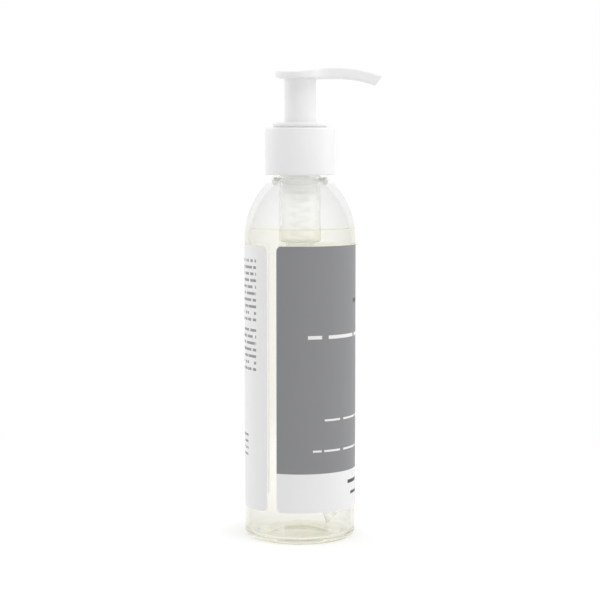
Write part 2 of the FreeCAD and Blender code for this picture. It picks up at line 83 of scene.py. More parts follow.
class Value:
    """A node's output in a shader, with the operators that the finishes use."""

    def __init__(self, graph: "Graph", socket: bpy.types.NodeSocket | None) -> None:
        """Keeps the graph and the socket, which a closing node lacks."""
        self.graph = graph
        self.socket = socket

    def _math(self, operation: str, first: Any, second: Any) -> "Value":
        """Adds a Math node.

        Args:
            operation: The Math node's operation.
            first: Its first number or value.
            second: Its second number or value.

        Returns:
            The node's result.
        """
        return self.graph.node("ShaderNodeMath", {"operation": operation}, {0: first, 1: second})

    def __add__(self, other: Any) -> "Value":
        """Adds."""
        return self._math("ADD", self, other)

    def __radd__(self, other: Any) -> "Value":
        """Adds, with the number first."""
        return self._math("ADD", other, self)

    def __sub__(self, other: Any) -> "Value":
        """Subtracts."""
        return self._math("SUBTRACT", self, other)

    def __rsub__(self, other: Any) -> "Value":
        """Subtracts from a number."""
        return self._math("SUBTRACT", other, self)

    def __mul__(self, other: Any) -> "Value":
        """Multiplies."""
        return self._math("MULTIPLY", self, other)

    def __rmul__(self, other: Any) -> "Value":
        """Multiplies, with the number first."""
        return self._math("MULTIPLY", other, self)

    def above(self, limit: float) -> "Value":
        """One where the value is above a limit, and zero elsewhere."""
        return self._math("GREATER_THAN", self, limit)

    def below(self, limit: float) -> "Value":
        """One where the value is below a limit, and zero elsewhere."""
        return self._math("LESS_THAN", self, limit)

    def size(self) -> "Value":
        """The value without its sign."""
        return self._math("ABSOLUTE", self, 0.0)

    def atan2(self, other: "Value") -> "Value":
        """The angle whose sine and cosine are in the ratio of this value and another."""
        return self._math("ARCTAN2", self, other)

    def floor(self) -> "Value":
        """The whole number below the value."""
        return self._math("FLOOR", self, 0.0)

    def fract(self) -> "Value":
        """What is left of the value above its whole number."""
        return self._math("FRACT", self, 0.0)

    def clamp(self) -> "Value":
        """The value held between zero and one."""
        return self.graph.node("ShaderNodeClamp", {}, {"Value": self})

    def beside(self, output: Any) -> "Value":
        """Another output of the same node, by name or index."""
        return Value(self.graph, self.socket.node.outputs[output])


class Graph:
    """The nodes of a material or of the world, with one way of adding them."""

    def __init__(self, owner: Owner) -> None:
        """Starts with no nodes.

        Args:
            owner: The material or the world.
        """
        self.owner = owner
        owner.use_nodes = True
        self.tree = owner.node_tree
        self.tree.nodes.clear()

    def node(self, kind: str, settings: dict[str, Any], inputs: dict[Any, Any], output: Any = 0) -> Value:
        """Adds a node.

        Args:
            kind: The node's type.
            settings: Its settings.
            inputs: Numbers, colours or values for its sockets, by name or index.
            output: The name or index of the socket that is handed back.

        Returns:
            The chosen output, with no socket for a closing node.
        """
        made = self.tree.nodes.new(kind)
        for key, setting in settings.items():
            setattr(made, key, setting)
        for key, given in inputs.items():
            if isinstance(given, Value):
                self.tree.links.new(given.socket, made.inputs[key])
            else:
                made.inputs[key].default_value = given
        return Value(self, made.outputs[output] if len(made.outputs) else None)

    def object_point(self) -> Value:
        """The point of the surface in the object's own frame, in metres."""
        return self.node("ShaderNodeTexCoord", {}, {}, "Object")

    def axes(self) -> tuple[Value, Value, Value]:
        """The three coordinates of the surface point."""
        x = self.node("ShaderNodeSeparateXYZ", {}, {0: self.object_point()})
        return x, x.beside(1), x.beside(2)

    def noise(self, scale: float, detail: float, roughness: float = 0.5) -> Value:
        """Smooth noise over the surface.

        Args:
            scale: Waves in a metre.
            detail: Octaves.
            roughness: How strong the finer octaves are.

        Returns:
            The noise, about 0.5.
        """
        inputs = {"Vector": self.object_point(), "Scale": scale, "Detail": detail, "Roughness": roughness}
        return self.node("ShaderNodeTexNoise", {}, inputs)

    def path(self, output: str) -> Value:
        """One fact about the ray that meets the surface."""
        return self.node("ShaderNodeLightPath", {}, {}, output)

    def rays(self, first: str, *others: str) -> Value:
        """One for rays of the named kinds, and zero for others.

        Args:
            first: An output of the Light Path node.
            others: More of its outputs.

        Returns:
            The test.
        """
        path = self.path(first)
        found = path
        for kind in others:
            found = found + path.beside(kind)
        return found.clamp()

    def mix(self, factor: Value, low: Any, high: Any) -> Value:
        """Mixes two colours.

        Args:
            factor: Zero for the first and one for the second.
            low: The first colour.
            high: The second colour.

        Returns:
            The mixed colour.
        """
        return self.node("ShaderNodeMix", {"data_type": "RGBA"}, {0: factor, 6: low, 7: high}, 2)

    def bump(self, height: Value, strength: float, distance: float) -> Value:
        """A normal bent by a height.

        Args:
            height: The height, in units of the distance.
            strength: How much of it shows.
            distance: The height of one unit, in metres.

        Returns:
            The normal.
        """
        inputs = {"Height": height, "Strength": strength, "Distance": distance}
        return self.node("ShaderNodeBump", {}, inputs, "Normal")

    def surface(self, inputs: dict[str, Any]) -> Owner:
        """Closes a material with one surface shader, given its sockets."""
        return self.close(self.node("ShaderNodeBsdfPrincipled", {}, inputs))

    def close(self, shader: Value) -> Owner:
        """Joins a shader to the output.

        Args:
            shader: The shader.

        Returns:
            The material or the world.
        """
        whole = isinstance(self.owner, bpy.types.World)
        self.node("ShaderNodeOutputWorld" if whole else "ShaderNodeOutputMaterial", {}, {"Surface": shader})
        return self.owner


def new_material(name: str) -> Graph:
    """The nodes of a new material."""
    return Graph(bpy.data.materials.new(name))


def opaque(colour: Colour) -> tuple[float, float, float, float]:
    """A colour with full alpha."""
    return (colour[0], colour[1], colour[2], 1.0)


# Finishes


@dataclass(frozen=True)
class MouldedPlastic:
    """Satin injection-moulded plastic with a faint flow pattern and fine spark texture."""

    name: str
    colour: Colour
    shade: Colour
    roughness: float
    glow: float = 0.0
    flow_sheen: float = 0.08
    spark_sheen: float = 0.05
    flow_height: float = 0.6

    def make(self) -> bpy.types.Material:
        """Builds the material.

        Returns:
            The material.
        """
        graph = new_material(self.name)
        flow = graph.noise(scale=90.0, detail=3.0)
        spark = graph.noise(scale=5200.0, detail=2.0)
        colour = graph.mix(flow, opaque(self.shade), opaque(self.colour))
        rough = (self.roughness + self.flow_sheen * (flow - NOISE_MIDDLE)
                 + self.spark_sheen * (spark - NOISE_MIDDLE))
        normal = graph.bump(spark + self.flow_height * flow, strength=0.22, distance=RELIEF)
        # A glow above zero is painted light: the moulding shines by itself, though it is no lamp.
        return graph.surface({
            "Base Color": colour, "Roughness": rough, "Normal": normal, "IOR": 1.49,
            "Emission Color": opaque(self.colour), "Emission Strength": self.glow,
        })


@dataclass(frozen=True)
class ClearPlastic:
    """Clear or hazy plastic that light passes through.

    A ray that has passed many clear faces, or was reflected more than once, goes straight on and so doesn't
    end in black. Shadow and diffuse rays pass too, so that light reaches the inside.
    """

    name: str
    colour: Colour
    index: float
    roughness: float
    wave: float
    # The colour where the surface is seen edge-on; one darker than the colour paints shade along the
    # outlines.
    edge: Colour
    haze: float = 0.0
    milk: Colour = (0.8, 0.8, 0.8)
    glow: float = 0.0
    ripple: float = 0.05
    sheen: float = 0.02
    rim: float = 0.2
    cloudiness: float = 0.12
    faces_passed: float = 6.0
    reflections: float = 1.0

    def make(self) -> bpy.types.Material:
        """Builds the material.

        Returns:
            The material.
        """
        graph = new_material(self.name)
        slow = graph.noise(scale=55.0, detail=2.0)
        fine = graph.noise(scale=900.0, detail=2.0)
        normal = graph.bump(slow + self.ripple * fine, strength=self.wave, distance=WAVE_RELIEF)
        rough = self.roughness + self.sheen * fine
        # Towards the outlines the colour turns to the edge colour: painted shade at the rims where that is
        # darker, partly standing for the longer path through the wall.
        slant = graph.node("ShaderNodeLayerWeight", {}, {"Blend": self.rim}, "Facing")
        rim_shaded_tint = graph.mix(slant, opaque(self.colour), opaque(self.edge))
        body = graph.node("ShaderNodeBsdfPrincipled", {}, {
            "Base Color": rim_shaded_tint, "Roughness": rough, "Normal": normal, "IOR": self.index,
            "Transmission Weight": 1.0,
        })
        if self.haze > 0.0:
            rim_shaded_milk = graph.mix(slant, opaque(self.milk), opaque(self.edge))
            # The milky part glows by the glow value: painted light that stands in for light scattered
            # through the hazy wall.
            milky = graph.node("ShaderNodeBsdfPrincipled", {}, {
                "Base Color": rim_shaded_milk, "Roughness": rough, "Normal": normal, "IOR": self.index,
                "Emission Color": rim_shaded_milk, "Emission Strength": self.glow,
            })
            amount = self.haze + self.cloudiness * (slow - NOISE_MIDDLE)
            body = graph.node("ShaderNodeMixShader", {}, {0: amount, 1: body, 2: milky})
        deep = graph.path("Transmission Depth").above(self.faces_passed)
        reflected = graph.path("Glossy Depth").above(self.reflections)
        lit = (graph.rays("Is Shadow Ray", "Is Diffuse Ray") + deep + reflected).clamp()
        let_through = graph.node("ShaderNodeBsdfTransparent", {}, {"Color": opaque(self.colour)})
        return graph.close(graph.node("ShaderNodeMixShader", {}, {0: lit, 1: body, 2: let_through}))


@dataclass(frozen=True)
class PrintBlock:
    """Rows of plain dashes that stand where a label has its print, in millimetres from its middle."""

    low: float
    high: float
    reach: float
    pitch: float
    stroke: float
    word: float
    ink: Colour
    row_shift: float = 3.7
    gap_share: float = 0.40

    def mask(self, graph: Graph, along: Value, up: Value) -> Value:
        """Where the block is printed.

        Args:
            graph: The label's material.
            along: Distance round the label from its middle, in millimetres.
            up: Height, in millimetres.

        Returns:
            One on a dash, and zero elsewhere.
        """
        row = (up - self.low) * (1.0 / self.pitch)
        place = graph.node("ShaderNodeCombineXYZ", {}, {
            0: along * (1.0 / self.word), 1: row.floor() * self.row_shift})
        noise = graph.node("ShaderNodeTexNoise", {}, {"Vector": place, "Scale": 1.0, "Detail": 0.0})
        inside = up.above(self.low) * up.below(self.high) * along.size().below(self.reach)
        return row.fract().below(self.stroke) * noise.above(self.gap_share) * inside


@dataclass(frozen=True)
class PrintedFilm:
    """Matte label film: one ink above a foot band of another, with fine grain and rows of small print."""

    name: str
    ink: Colour
    band: Colour
    band_top: float
    radius: float = 22.37
    facing: float = 1.0
    blocks: tuple[PrintBlock, ...] = ()
    glow: float = 0.0
    roughness: float = 0.46
    mottle_sheen: float = 0.1
    mottle_shade: float = 0.035
    grain_shade: float = 0.03

    def make(self) -> bpy.types.Material:
        """Builds the material.

        Returns:
            The material.
        """
        graph = new_material(self.name)
        x, y, z = graph.axes()
        up = z * (1.0 / MM)
        grain = graph.noise(scale=2600.0, detail=4.0, roughness=0.7)
        mottle = graph.noise(scale=140.0, detail=3.0)
        colour = graph.mix(up.above(self.band_top), opaque(self.band), opaque(self.ink))
        along = (self.facing * y).atan2(self.facing * x) * self.radius
        for block in self.blocks:
            colour = graph.mix(block.mask(graph, along, up), colour, opaque(block.ink))
        depth = (1.0 + self.mottle_shade * (mottle - NOISE_MIDDLE)
                 + self.grain_shade * (grain - NOISE_MIDDLE))
        shade = graph.node("ShaderNodeHueSaturation", {}, {"Value": depth, "Color": colour}, "Color")
        rough = self.roughness + self.mottle_sheen * (mottle - NOISE_MIDDLE)
        normal = graph.bump(grain, strength=0.12, distance=RELIEF)
        # A glow above zero is painted light: the film shines by itself, though it is no lamp.
        return graph.surface({
            "Base Color": shade, "Roughness": rough, "Normal": normal, "IOR": 1.45,
            "Emission Color": opaque(self.ink), "Emission Strength": self.glow,
        })


@dataclass(frozen=True)
class DrawnWire:
    """Bright drawn steel wire."""

    name: str
    colour: Colour
    roughness: float = 0.34
    streak_sheen: float = 0.16

    def make(self) -> bpy.types.Material:
        """Builds the material.

        Returns:
            The material.
        """
        graph = new_material(self.name)
        streak = graph.noise(scale=1800.0, detail=3.0)
        return graph.surface({
            "Base Color": opaque(self.colour), "Metallic": 1.0,
            "Roughness": self.roughness + self.streak_sheen * streak,
            "Normal": graph.bump(streak, strength=0.1, distance=RELIEF),
        })


Finish = Union[MouldedPlastic, ClearPlastic, PrintedFilm, DrawnWire]

WHITE = MouldedPlastic("white_moulding", (0.89, 0.89, 0.89), (0.865, 0.865, 0.865), 0.36)
# The collar's bore: a white moulding with a painted glow that stands in for light coming through the
# collar's wall.
GLOWING_BORE = MouldedPlastic("painted_glow_bore_moulding", (0.88, 0.885, 0.86), (0.86, 0.865, 0.84), 0.40, glow=0.32)
# The piston seal's grey, darker than the white mouldings, is painted shade for the band that the piston
# shows under the collar.
SHADED_SEAL = MouldedPlastic("seal_moulding_painted_shade", (0.66, 0.665, 0.66), (0.63, 0.635, 0.63), 0.42)
FOAM = MouldedPlastic("foam_liner", (0.82, 0.82, 0.80), (0.76, 0.76, 0.74), 0.7)
# The bottle wall's dark edge colour paints shade along its outlines.
CLEAR = ClearPlastic("clear_bottle_wall", (0.98, 0.982, 0.977), 1.52, 0.0, 0.05, edge=(0.50, 0.51, 0.50))
THICK = ClearPlastic("clear_neck_and_heel", (0.98, 0.982, 0.97), 1.52, 0.0, 0.05, edge=(0.98, 0.982, 0.97))
OIL = ClearPlastic("pale_oil", (0.985, 0.976, 0.925), 1.02, 0.0, 0.0, edge=(0.96, 0.94, 0.82))
# The housing's haze glows: painted light in place of light scattered through it. Its dark edge colour paints
# shade at its outlines.
NATURAL = ClearPlastic("natural_moulding", (0.99, 0.99, 0.985), 1.49, 0.20, 0.05, edge=(0.40, 0.40, 0.40),
                       haze=0.32, milk=(0.94, 0.94, 0.93), glow=0.34)
# The tubing's haze glows too: painted light.
TUBING = ClearPlastic("dip_tubing", (0.985, 0.987, 0.985), 1.50, 0.08, 0.03, edge=(0.80, 0.80, 0.80),
                      haze=0.22, milk=(0.95, 0.95, 0.94), glow=0.34)
BALL = ClearPlastic("ball_glass", (0.85, 0.9, 0.9), 1.52, 0.0, 0.0, edge=(0.75, 0.8, 0.8))
WIRE = DrawnWire("spring_wire", (0.85, 0.85, 0.855))
# The labels' inner side: white backing with a painted glow that stands in for light through the thin film.
GLOWING_BACKING = PrintedFilm("white_backing_painted_glow", (0.90, 0.90, 0.88), (0.90, 0.90, 0.88), 0.0, glow=0.55)

PALE_INK = (0.84, 0.84, 0.84)
GREY_INK = (0.247, 0.250, 0.258)
DARK_INK = (0.05, 0.05, 0.052)
SMALL_PRINT = (0.30, 0.30, 0.31)
FRONT_PRINT = (
    PrintBlock(95.6, 97.2, 7.6, 2.4, 0.7, 2.4, DARK_INK),
    PrintBlock(82.0, 83.4, 32.0, 2.4, 0.9, 4.5, PALE_INK),
    PrintBlock(49.4, 50.2, 25.0, 2.4, 0.9, 3.0, PALE_INK),
    PrintBlock(37.2, 38.0, 30.0, 2.4, 0.9, 3.0, PALE_INK),
    PrintBlock(23.2, 24.6, 14.0, 2.4, 0.9, 2.4, DARK_INK),
    PrintBlock(18.6, 19.8, 10.0, 2.4, 0.5, 2.0, DARK_INK),
)
BACK_PRINT = (
    PrintBlock(88.4, 114.0, 15.2, 2.6, 0.42, 1.9, SMALL_PRINT),
    PrintBlock(68.6, 86.6, 15.2, 2.6, 0.42, 1.9, SMALL_PRINT),
    PrintBlock(34.0, 44.2, 9.0, 2.6, 0.36, 1.9, SMALL_PRINT),
)


# Mesh building


class Outline:
    """A profile in the XZ plane, in millimetres, drawn with straight runs, arcs and rounded corners."""

    def __init__(self) -> None:
        """Starts an empty profile."""
        self.corners: list[Triple] = []

    def to(self, r: float, z: float, fillet: float = 0.0) -> "Outline":
        """Adds a corner.

        Args:
            r: Distance from the axis.
            z: Height.
            fillet: The radius that rounds the corner.

        Returns:
            The profile.
        """
        self.corners.append((r, z, fillet))
        return self

    def arc(self, centre: Pair, radius: float, start: float, end: float, steps: int) -> "Outline":
        """Adds an arc.

        Args:
            centre: The arc's centre.
            radius: Its radius.
            start: Its first angle, in degrees.
            end: Its last angle, in degrees.
            steps: How many runs it is drawn with.

        Returns:
            The profile.
        """
        for i in range(steps + 1):
            turn = math.radians(start + (end - start) * i / steps)
            self.to(centre[0] + radius * math.cos(turn), centre[1] + radius * math.sin(turn))
        return self

    def points(self) -> list[Pair]:
        """The profile's points, with its corners rounded.

        Returns:
            Points as (r, z) pairs, in millimetres.
        """
        made: list[Pair] = []
        count = len(self.corners)
        for i, (r, z, fillet) in enumerate(self.corners):
            if fillet == 0.0:
                made.append((r, z))
                continue
            here = Vector((r, z))
            back = Vector(self.corners[i - 1][:2]) - here
            ahead = Vector(self.corners[(i + 1) % count][:2]) - here
            half = back.angle(ahead) / 2
            reach = min(fillet / math.tan(half), LONGEST_REACH * back.length, LONGEST_REACH * ahead.length)
            back.normalize()
            ahead.normalize()
            radius = reach * math.tan(half)
            middle = here + (back + ahead).normalized() * (radius / math.sin(half))
            first, last = here + back * reach - middle, here + ahead * reach - middle
            for step in range(CORNER_RUNS + 1):
                made.append(tuple(middle + first.slerp(last, step / CORNER_RUNS) * radius))
        return made


class Workshop:
    """Makes pieces from bmeshes and hangs them on their bodies."""

    def __init__(self) -> None:
        """Starts with no pieces."""
        self.materials: dict[str, bpy.types.Material] = {}
        self.made: list[bpy.types.Object] = []

    def finish(self, finish: Finish) -> bpy.types.Material:
        """The material of a finish, built once.

        Args:
            finish: The finish.

        Returns:
            Its material.
        """
        if finish.name not in self.materials:
            self.materials[finish.name] = finish.make()
        return self.materials[finish.name]

    def piece(self, bm: bmesh.types.BMesh, name: str, body: Body, slot: str, finish: Finish,
              nodes: Iterable[str] = (), crease: float = 32.0,
              lining: Finish | None = None) -> bpy.types.Object:
        """Turns a bmesh into a piece of the object.

        Args:
            bm: The mesh, in metres, at its place. It is freed.
            name: The piece's name.
            body: The body that it moves with.
            slot: The record's material slot. It is not used.
            finish: Its finish.
            nodes: The solids that it stands for.
            crease: Edges sharper than this angle, in degrees, stay sharp.
            lining: The finish of the faces that are numbered 1, if any are.

        Returns:
            The piece.
        """
        mesh = bpy.data.meshes.new(name)
        bm.to_mesh(mesh)
        bm.free()
        mesh.materials.append(self.finish(finish))
        if lining is not None:
            mesh.materials.append(self.finish(lining))
        mesh.polygons.foreach_set("use_smooth", [True] * len(mesh.polygons))
        mesh.set_sharp_from_angle(angle=math.radians(crease))
        made = bpy.data.objects.new(name, mesh)
        bpy.context.scene.collection.objects.link(made)
        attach(made, body.value)
        if nodes:
            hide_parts(*nodes)
        self.made.append(made)
        return made

    @staticmethod
    def spin(shape: Outline, steps: int) -> bmesh.types.BMesh:
        """Turns a profile round the Z axis.

        Args:
            shape: The profile. Its ends are joined unless both lie on the axis.
            steps: Runs in the full turn.

        Returns:
            The turned mesh, in metres.
        """
        points = shape.points()
        bm = bmesh.new()
        rim = [bm.verts.new((max(r, 0.0) * MM, 0.0, z * MM)) for r, z in points]
        edges = [bm.edges.new(pair) for pair in zip(rim, rim[1:])]
        if max(points[0][0], points[-1][0]) >= ON_AXIS:
            edges.append(bm.edges.new((rim[-1], rim[0])))
        bmesh.ops.spin(bm, geom=rim + edges, cent=(0, 0, 0), axis=(0, 0, 1), angle=FULL_TURN, steps=steps,
                       use_merge=True, use_duplicate=False)
        bmesh.ops.remove_doubles(bm, verts=bm.verts, dist=SAME_POINT)
        bmesh.ops.recalc_face_normals(bm, faces=bm.faces)
        return bm


def of_kind(geom: Iterable[Any], kind: type) -> list[Any]:
    """The vertices, edges or faces among an operator's results."""
    return [item for item in geom if isinstance(item, kind)]


# Sub-assemblies


@dataclass
class Assembly:
    """A sub-assembly, with the workshop that makes its pieces."""

    shop: Workshop


@dataclass
class Bottle(Assembly):
    """The blown bottle and the oil in it, in millimetres."""

    barrel: float = 22.25
    waist_z: float = 60.0
    wall: float = 1.5
    shoulder_z: float = 121.0
    shoulder_r: float = 31.7
    thickening: float = 1.5
    heel: float = 3.2
    inner_heel: float = 2.0
    ring_inner: float = 15.55
    ring_width: float = 1.6
    push_up: float = 3.0
    base: float = 2.2
    neck: float = 10.95
    neck_bore: float = 9.15
    neck_foot: float = 143.0
    lip: float = 161.26
    lip_round: float = 0.4
    bead: float = 0.8
    bead_foot: float = 0.7
    bead_sweep: float = 80.0
    bead_z: float = 147.56
    oil_z: float = 124.7
    film: float = 0.12
    rim_rise: float = 0.5
    rim: tuple[Pair, ...] = ((0.5, 0.12), (1.4, 0.0))
    thread_start: float = 2.6
    thread_pitch: float = 3.175
    thread_turns: float = 2.0
    thread: tuple[Pair, ...] = ((-0.1, -0.9), (0.85, -0.35), (0.85, 0.2), (-0.1, 0.7))
    thread_runs: int = 144
    round_runs: int = 192
    well: tuple[Triple, ...] = (
        (8.3, 119.41, 1.1), (5.65, 119.41, 0.6), (5.65, 108.51, 0.4), (4.15, 107.41, 0.4),
        (4.15, 100.02, 0.4), (3.35, 99.22, 0.4), (3.35, 91.02, 0.3),
    )

    def dome(self) -> float:
        """The radius of the pushed-up floor."""
        return (self.ring_inner ** 2 + self.push_up ** 2) / (2 * self.push_up)

    def shoulder_x(self) -> float:
        """How far from the axis the shoulder's arc has its centre."""
        return self.barrel - self.shoulder_r

    def inner(self, inset: float) -> Outline:
        """The bottle's inner profile from the middle of its floor up to the heel.

        Args:
            inset: How far it lies inside the wall.

        Returns:
            The open profile.
        """
        wall = self.barrel - self.wall - inset
        floor = self.base + inset
        dome_z = self.push_up - self.dome()
        sphere = self.dome() + floor
        foot = math.degrees(math.asin((floor - dome_z) / sphere))
        shape = Outline()
        shape.arc((0.0, dome_z), sphere, 90.0, foot, steps=14)
        heel = (wall - self.inner_heel, floor + self.inner_heel)
        return shape.arc(heel, self.inner_heel, -90.0, 0.0, steps=10)

    def shoulder(self, shape: Outline, inset: float, top: float) -> None:
        """Adds the inner shoulder to a profile.

        Args:
            shape: The profile.
            inset: How far it lies inside the wall.
            top: The height where it stops.
        """
        radius = self.barrel - self.wall - inset - self.shoulder_x()
        centre_z = self.shoulder_z - self.thickening
        end = math.degrees(math.asin(min(top - centre_z, radius) / radius))
        shape.arc((self.shoulder_x(), centre_z), radius, 0.0, end, steps=24)

    def build(self) -> None:
        """Builds the bottle, the oil and the neck thread."""
        self.build_shell()
        self.build_oil()
        self.build_thread()

    def build_shell(self) -> None:
        """Builds the bottle from its underside over the neck and back down the inside."""
        dome = self.dome()
        shape = Outline()
        edge = math.degrees(math.asin((dome - self.push_up) / dome))
        shape.arc((0.0, self.push_up - dome), dome, 90.0, edge, steps=14)
        shape.to(self.barrel - self.heel - self.ring_width, 0.0)
        shape.arc((self.barrel - self.heel, self.heel), self.heel, -90.0, 0.0, steps=12)
        shape.to(self.barrel, self.waist_z)
        centre_x = self.shoulder_x()
        end = math.degrees(math.acos((self.neck - centre_x) / self.shoulder_r))
        shape.arc((centre_x, self.shoulder_z), self.shoulder_r, 0.0, end, steps=40)
        shape.to(self.neck, self.bead_z - self.bead_foot)
        shape.arc((self.neck, self.bead_z), self.bead, -self.bead_sweep, self.bead_sweep, steps=10)
        shape.to(self.neck, self.lip, self.lip_round).to(self.neck_bore, self.lip, self.lip_round)
        inner = self.inner(0.0)
        radius = self.barrel - self.wall - centre_x
        rise = math.sqrt(radius ** 2 - (self.neck_bore - centre_x) ** 2)
        self.shoulder(inner, 0.0, self.shoulder_z - self.thickening + rise)
        shape.corners.extend(reversed(inner.corners))
        shell = self.shop.spin(shape, self.round_runs)
        for face in shell.faces:
            level = face.calc_center_median().z
            face.material_index = int(not self.heel * MM < level < self.neck_foot * MM)
        self.shop.piece(shell, "bottle_shell", Body.BOTTLE, "clear_bottle", CLEAR, ["bottle"], lining=THICK)

    def build_oil(self) -> None:
        """Builds the oil, which wets the wall, rises a little at it and leaves room for the housing."""
        shape = self.inner(-self.film)
        self.shoulder(shape, -self.film, self.oil_z + self.rim_rise)
        edge = shape.corners[-1][0]
        for inward, rise in self.rim:
            shape.to(edge - inward, self.oil_z + rise)
        shape.to(self.well[0][0], self.oil_z)
        for r, z, fillet in self.well:
            shape.to(r, z, fillet)
        shape.to(0.0, self.well[-1][1])
        oil = self.shop.spin(shape, self.round_runs)
        self.shop.piece(oil, "oil_body", Body.BOTTLE, "oil", OIL, ["oil_fill"])

    def build_thread(self) -> None:
        """Builds the raised thread as a bead that climbs the neck."""
        bm = bmesh.new()
        start = self.bead_z + self.thread_start
        ring = [bm.verts.new(((self.neck + r) * MM, 0.0, (start + z) * MM)) for r, z in self.thread]
        face = bm.faces.new(ring)
        step_up = (0, 0, self.thread_pitch * MM * self.thread_turns / self.thread_runs)
        bmesh.ops.spin(bm, geom=[face], cent=(0, 0, 0), axis=(0, 0, 1), dvec=step_up, steps=self.thread_runs,
                       angle=FULL_TURN * self.thread_turns, use_merge=False, use_duplicate=False)
        bmesh.ops.recalc_face_normals(bm, faces=bm.faces)
        self.shop.piece(bm, "neck_thread", Body.BOTTLE, "clear_bottle", THICK)


@dataclass
class Labels(Assembly):
    """The two wrap labels, in millimetres and degrees."""

    radius: float = 22.27
    thickness: float = 0.1
    bottom: float = 13.0
    top: float = 118.5
    corner: float = 2.0
    corner_runs: int = 8
    run_angle: float = 2.0
    front_angle: float = 229.0
    spacing: float = 10.8
    band_top: float = 28.6
    outward: float = 0.5

    def sheet(self, width: float, centre: float) -> bmesh.types.BMesh:
        """A thin wrapped sheet with rounded corners, whose outer faces are numbered 0 and the others 1.

        Args:
            width: The angle that it covers.
            centre: The direction of its middle.

        Returns:
            The sheet, in metres.
        """
        bm = self.wrap(width)
        shell = bmesh.ops.extrude_face_region(bm, geom=list(bm.faces))
        grow = (self.radius + self.thickness) / self.radius
        bmesh.ops.scale(bm, vec=(grow, grow, 1.0), verts=of_kind(shell["geom"], bmesh.types.BMVert))
        bmesh.ops.recalc_face_normals(bm, faces=bm.faces)
        for face in bm.faces:
            out = face.calc_center_median().xy
            face.material_index = int(face.normal.xy.dot(out) <= self.outward * out.length)
        bmesh.ops.rotate(bm, verts=bm.verts, cent=(0, 0, 0),
                         matrix=Matrix.Rotation(math.radians(centre - width / 2), 3, "Z"))
        return bm

    def wrap(self, width: float) -> bmesh.types.BMesh:
        """A sheet with no thickness that starts at the X axis and faces outwards.

        Args:
            width: The angle that it covers.

        Returns:
            The sheet, in metres.
        """
        bm = bmesh.new()
        foot = bm.verts.new((self.radius * MM, 0.0, self.bottom * MM))
        head = bm.verts.new((self.radius * MM, 0.0, self.top * MM))
        geom: list[Any] = [foot, head, bm.edges.new((foot, head))]
        corner = math.degrees(self.corner / self.radius)
        rounded = (corner, self.corner_runs)
        plain = (width - 2 * corner, int(width / self.run_angle))
        for angle, steps in (rounded, plain, rounded):
            geom = bmesh.ops.spin(bm, geom=geom, cent=(0, 0, 0), axis=(0, 0, 1), angle=math.radians(angle),
                                  steps=steps, use_merge=False, use_duplicate=False)["geom_last"]
        halfway = (self.bottom + self.top) / 2 * MM
        for vert in bm.verts:
            turn = math.degrees(math.atan2(vert.co.y, vert.co.x)) % 360.0
            short = max(0.0, corner - min(turn, width - turn)) / corner
            cut = self.corner * (1.0 - math.sqrt(max(0.0, 1.0 - short * short))) * MM
            vert.co.z += cut if vert.co.z < halfway else -cut
        bmesh.ops.recalc_face_normals(bm, faces=bm.faces)
        first = next(iter(bm.faces))
        if first.normal.dot(first.calc_center_median()) < 0.0:
            bmesh.ops.reverse_faces(bm, faces=bm.faces)
        return bm

    def build(self) -> None:
        """Builds both labels."""
        front = PrintedFilm("front_film", GREY_INK, PALE_INK, self.band_top, blocks=FRONT_PRINT)
        back = PrintedFilm("back_film", PALE_INK, PALE_INK, 0.0, facing=-1.0, blocks=BACK_PRINT)
        # The inner faces take the backing, whose glow is painted light.
        self.shop.piece(self.sheet(self.front_angle, 0.0), "front_wrap", Body.BOTTLE, "front_label", front,
                        ["front_label"], lining=GLOWING_BACKING)
        rest = 360.0 - self.front_angle - 2 * self.spacing
        self.shop.piece(self.sheet(rest, 180.0), "back_wrap", Body.BOTTLE, "back_label", back,
                        ["back_label"], lining=GLOWING_BACKING)


